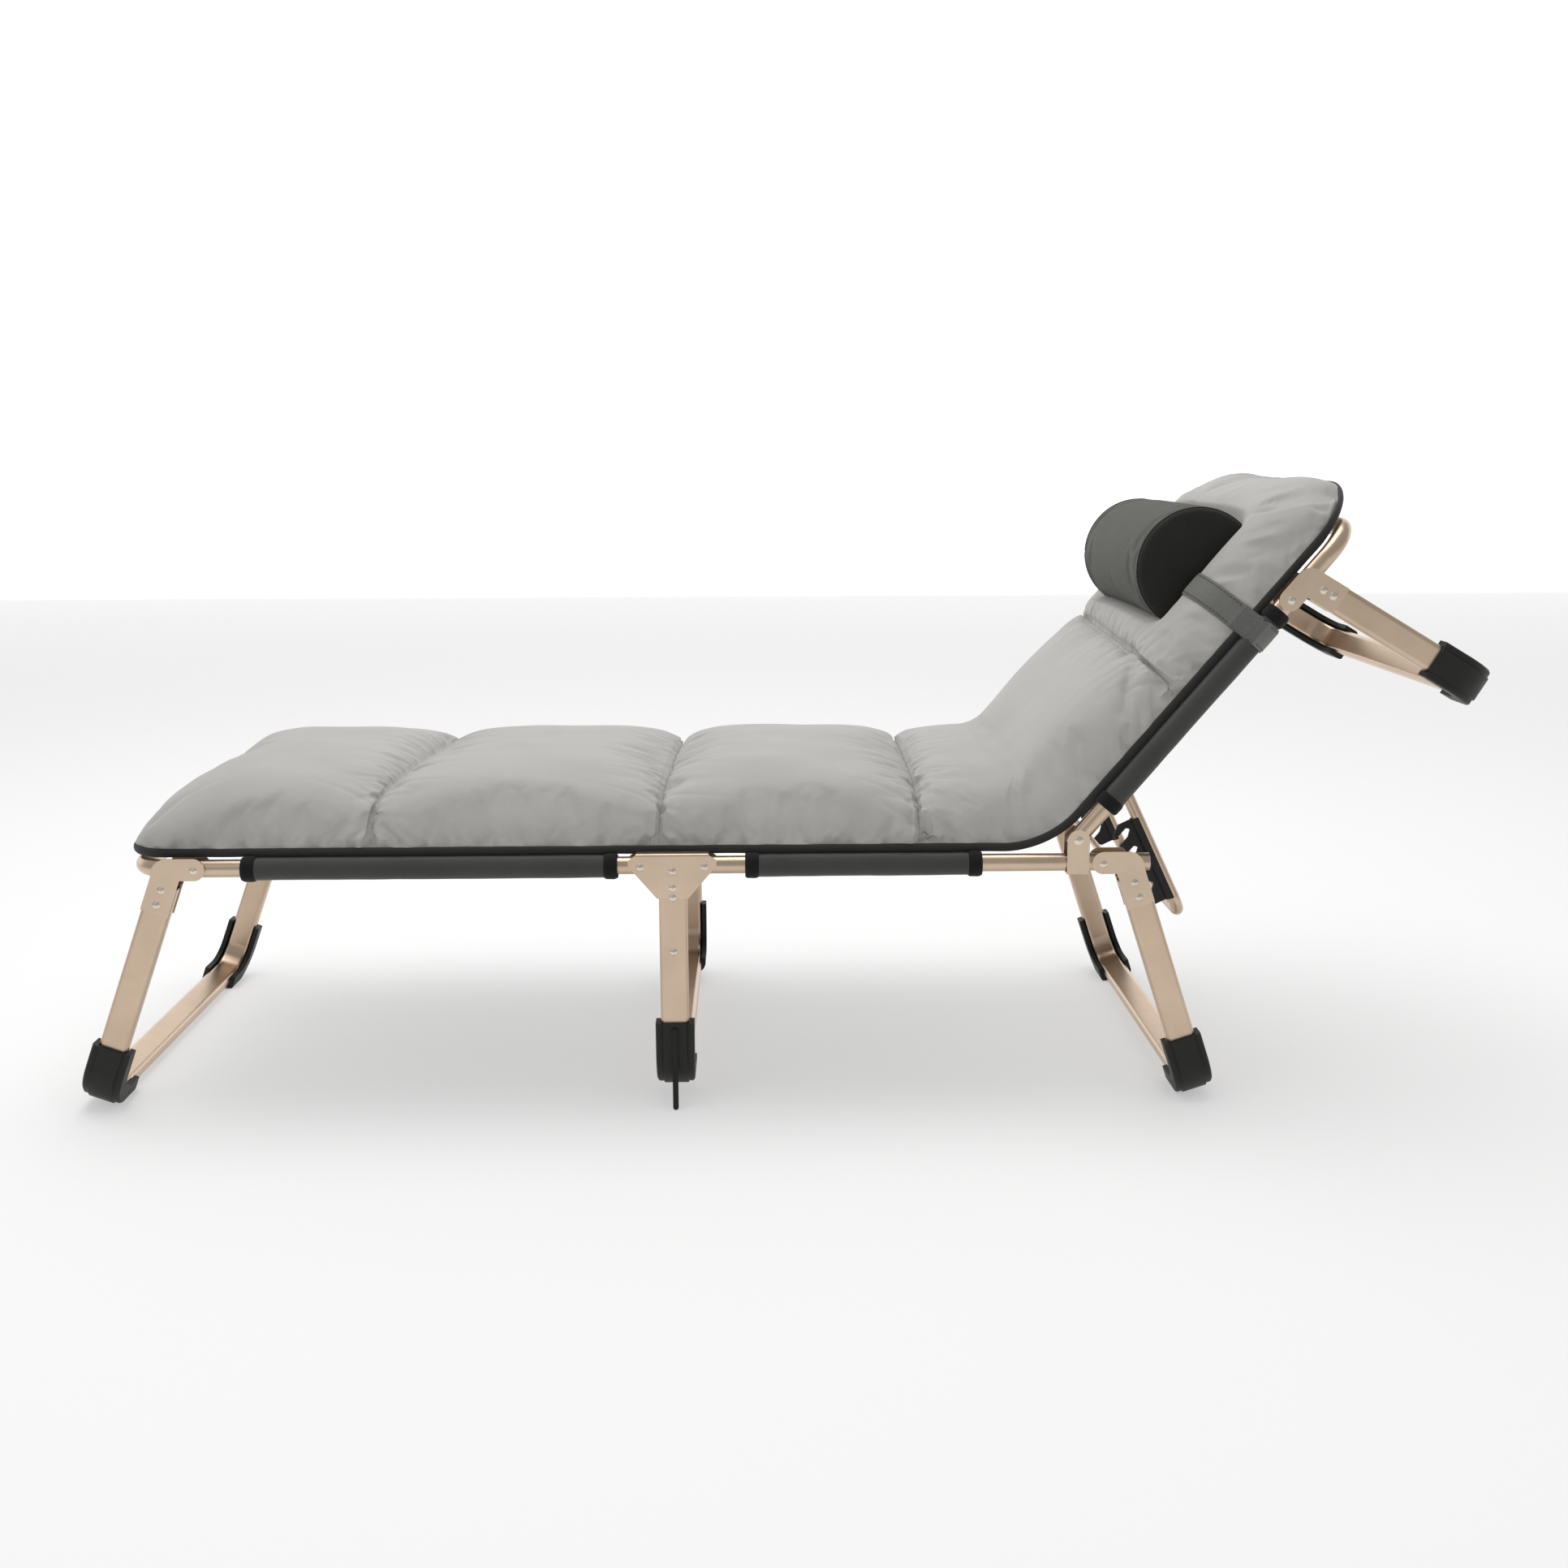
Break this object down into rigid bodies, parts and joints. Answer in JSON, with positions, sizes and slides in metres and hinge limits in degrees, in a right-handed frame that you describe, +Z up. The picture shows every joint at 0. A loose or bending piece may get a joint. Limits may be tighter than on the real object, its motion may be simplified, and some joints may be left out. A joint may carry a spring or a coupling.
{
  "type": "folding cot",
  "caption": "Folding cot with a tubular frame in hinged sections, fold-out U-shaped legs, a propped reclining back, a quilted mat and a sliding head pillow.",
  "frame": {"origin": "on the floor, at the middle of the cot's footprint", "axes": "+X towards the head end, +Z up, so +Y is the right side of a person lying on it"},
  "size_m": [2.0063, 0.669, 0.882],
  "materials": {
    "tube_aluminium": "satin champagne anodised",
    "plate_metal": "satin champagne",
    "rivet_steel": "satin",
    "shoe_plastic": "matte",
    "plug_plastic": "matte",
    "peg_rubber": "matte",
    "rack_plastic": "matte",
    "sleeve_cloth": "woven",
    "band_cloth": "woven",
    "mat_cloth": "soft brushed polyester",
    "pillow_cloth": "woven",
    "strap_webbing": "webbing"
  },
  "bodies": {
    "seat": {"seat_rail_left": "tube_aluminium", "seat_rail_right": "tube_aluminium", "seat_rail_plugs": "plug_plastic", "back_pivot_brackets": "plate_metal", "back_pivot_pins": "rivet_steel", "rack_bar": "tube_aluminium", "seat_sling": "sleeve_cloth", "seat_sleeve_bands": "band_cloth", "pad_seat": "mat_cloth"},
    "mid": {"mid_hinge_plates": "plate_metal", "mid_leg_frame": "tube_aluminium", "mid_leg_plugs": "plug_plastic", "mid_leg_shoes": "shoe_plastic", "mid_hinge_pins": "rivet_steel", "mid_leg_rivets": "rivet_steel", "mid_leg_guide_pins": "rivet_steel", "mid_leg_pegs": "peg_rubber"},
    "foot": {"foot_rail": "tube_aluminium", "foot_sling": "sleeve_cloth", "foot_sleeve_bands": "band_cloth", "pad_foot": "mat_cloth"},
    "foot_leg": {"foot_leg_frame": "tube_aluminium", "foot_leg_plugs": "plug_plastic", "foot_leg_shoes": "shoe_plastic", "foot_leg_brackets": "plate_metal", "foot_leg_rivets": "rivet_steel", "foot_leg_pivot_pins": "rivet_steel"},
    "seat_leg": {"seat_leg_frame": "tube_aluminium", "seat_leg_plugs": "plug_plastic", "seat_leg_shoes": "shoe_plastic", "seat_leg_brackets": "plate_metal", "seat_leg_rivets": "rivet_steel", "seat_leg_pivot_pins": "rivet_steel"},
    "back": {"back_rail": "tube_aluminium", "back_crossbar": "tube_aluminium", "back_sling": "sleeve_cloth", "back_sleeve_bands": "band_cloth", "pad_back": "mat_cloth"},
    "head_leg": {"head_leg_frame": "tube_aluminium", "head_leg_plugs": "plug_plastic", "head_leg_shoes": "shoe_plastic", "head_leg_brackets": "plate_metal", "head_leg_rivets": "rivet_steel", "head_leg_pivot_pins": "rivet_steel"},
    "prop": {"prop_rod": "tube_aluminium", "prop_clips": "plate_metal", "prop_racks": "rack_plastic"},
    "pillow": {"pillow": "pillow_cloth", "pillow_strap": "strap_webbing"}
  },
  "joints": [
    {"name": "mid_fold", "type": "hinge", "parent": "seat", "child": "mid", "pos_m": [-0.1006, 0, 0.357], "axis": [0, -1, 0], "range_deg": [0, 72]},
    {"name": "foot_fold", "type": "hinge", "parent": "mid", "child": "foot", "pos_m": [-0.1906, 0, 0.357], "axis": [0, -1, 0], "range_deg": [0, 72]},
    {"name": "foot_leg_fold", "type": "hinge", "parent": "foot", "child": "foot_leg", "pos_m": [-0.8111, 0, 0.357], "axis": [0, -1, 0], "range_deg": [0, 107]},
    {"name": "seat_leg_fold", "type": "hinge", "parent": "seat", "child": "seat_leg", "pos_m": [0.4594, 0, 0.357], "axis": [0, 1, 0], "range_deg": [0, 105]},
    {"name": "back_recline", "type": "hinge", "parent": "seat", "child": "back", "pos_m": [0.4237, 0, 0.391], "axis": [0, -1, 0], "range_deg": [-50, 15]},
    {"name": "head_leg_fold", "type": "hinge", "parent": "back", "child": "head_leg", "pos_m": [0.70395, 0, 0.72499], "axis": [0, 1, 0], "range_deg": [0, 86]},
    {"name": "prop_swing", "type": "hinge", "parent": "back", "child": "prop", "pos_m": [0.49653, 0, 0.47779], "axis": [0, -1, 0], "range_deg": [-12, 38]},
    {"name": "pillow_slide", "type": "slide", "parent": "back", "child": "pillow", "axis": [0.6428, 0, 0.766], "range_m": [-0.05, 0]}
  ],
  "couplings": [
    {"joint": "prop_swing", "follows": "back_recline", "ratio": -0.75}
  ]
}
